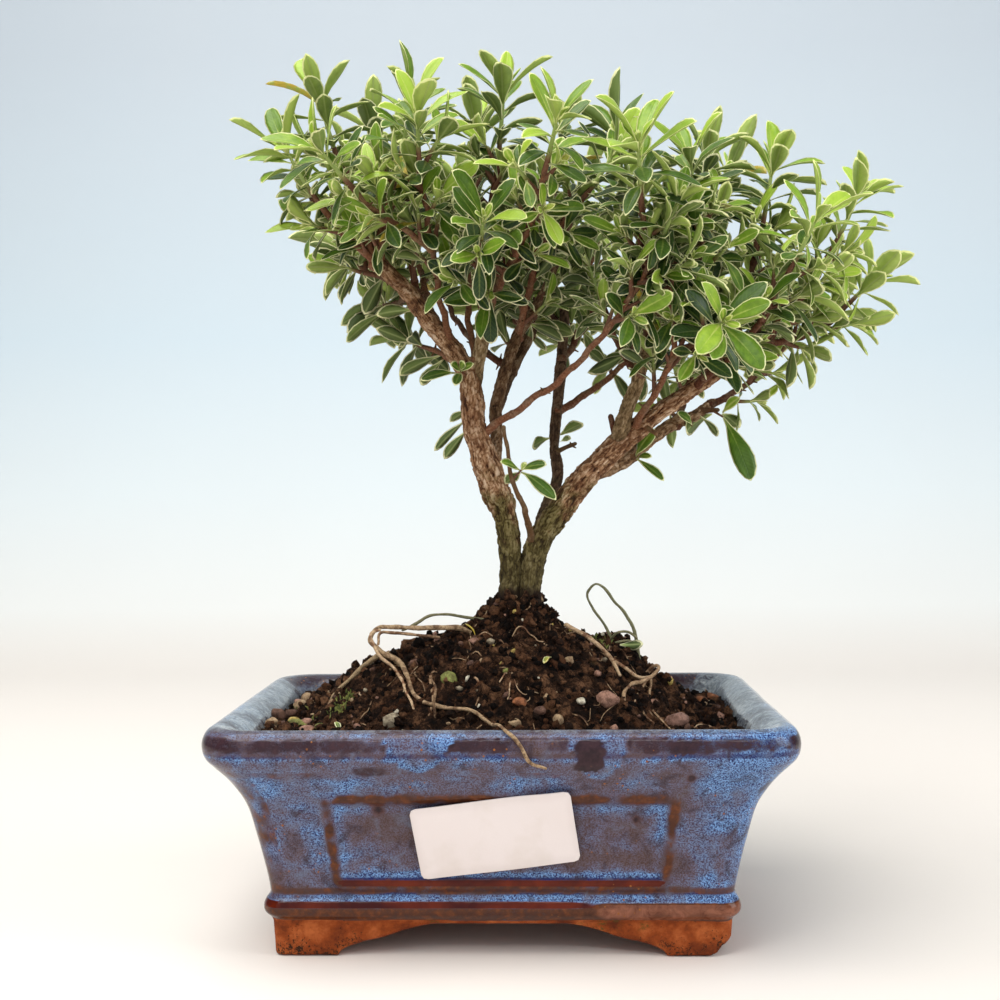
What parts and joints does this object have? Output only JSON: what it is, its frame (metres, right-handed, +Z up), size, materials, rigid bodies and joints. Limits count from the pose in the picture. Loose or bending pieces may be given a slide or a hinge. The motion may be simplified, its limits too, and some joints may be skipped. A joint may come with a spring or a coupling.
{
  "type": "serissa bonsai in a glazed pot",
  "caption": "Small twin-trunked serissa bonsai with cream-edged leaves, growing from a soil mound with bare roots in a flared rectangular glazed pot on cloud feet.",
  "frame": {"origin": "bottom centre of the whole object's box, on the table under the pot", "axes": "+X to the right along the pot's long side, +Y away from the labelled front, +Z up"},
  "size_m": [0.2188, 0.1698, 0.2689],
  "materials": {
    "glaze": "gloss",
    "bark": "matte",
    "leaf": "satin",
    "soil": "matte",
    "root": "matte",
    "stone": "matte",
    "screen": "satin",
    "paper": "matte"
  },
  "bodies": {
    "root": {"pot": "glaze", "soil": "soil", "trunk": "bark", "drain_screen_left": "screen", "drain_screen_right": "screen", "paper_label": "paper", "left_trailing_root": "root", "left_arching_root": "root", "right_looping_root": "root", "right_bent_root": "root", "mottled_pebble": "stone", "green_pebble": "stone", "pink_pebble": "stone", "broad_pebble": "stone", "leafy_shoot_01": "leaf", "leafy_shoot_02": "leaf", "leafy_shoot_03": "leaf", "leafy_shoot_04": "leaf", "leafy_shoot_05": "leaf", "leafy_shoot_06": "leaf", "leafy_shoot_07": "leaf", "leafy_shoot_08": "leaf", "leafy_shoot_09": "leaf", "leafy_shoot_10": "leaf", "leafy_shoot_11": "leaf", "leafy_shoot_12": "leaf", "leafy_shoot_13": "leaf", "leafy_shoot_14": "leaf", "leafy_shoot_15": "leaf", "leafy_shoot_16": "leaf", "leafy_shoot_17": "leaf", "leafy_shoot_18": "leaf", "leafy_shoot_19": "leaf", "leafy_shoot_20": "leaf", "leafy_shoot_21": "leaf", "leafy_shoot_22": "leaf", "leafy_shoot_23": "leaf", "leafy_shoot_24": "leaf", "leafy_shoot_25": "leaf", "leafy_shoot_26": "leaf", "leafy_shoot_27": "leaf", "leafy_shoot_28": "leaf", "leafy_shoot_29": "leaf", "leafy_shoot_30": "leaf", "leafy_shoot_31": "leaf", "leafy_shoot_32": "leaf", "leafy_shoot_33": "leaf", "leafy_shoot_34": "leaf", "leafy_shoot_35": "leaf", "leafy_shoot_36": "leaf", "leafy_shoot_37": "leaf", "leafy_shoot_38": "leaf", "leafy_shoot_39": "leaf", "leafy_shoot_40": "leaf", "leafy_shoot_41": "leaf", "leafy_shoot_42": "leaf", "leafy_shoot_43": "leaf", "leafy_shoot_44": "leaf", "leafy_shoot_45": "leaf", "leafy_shoot_46": "leaf"}
  },
  "joints": []
}
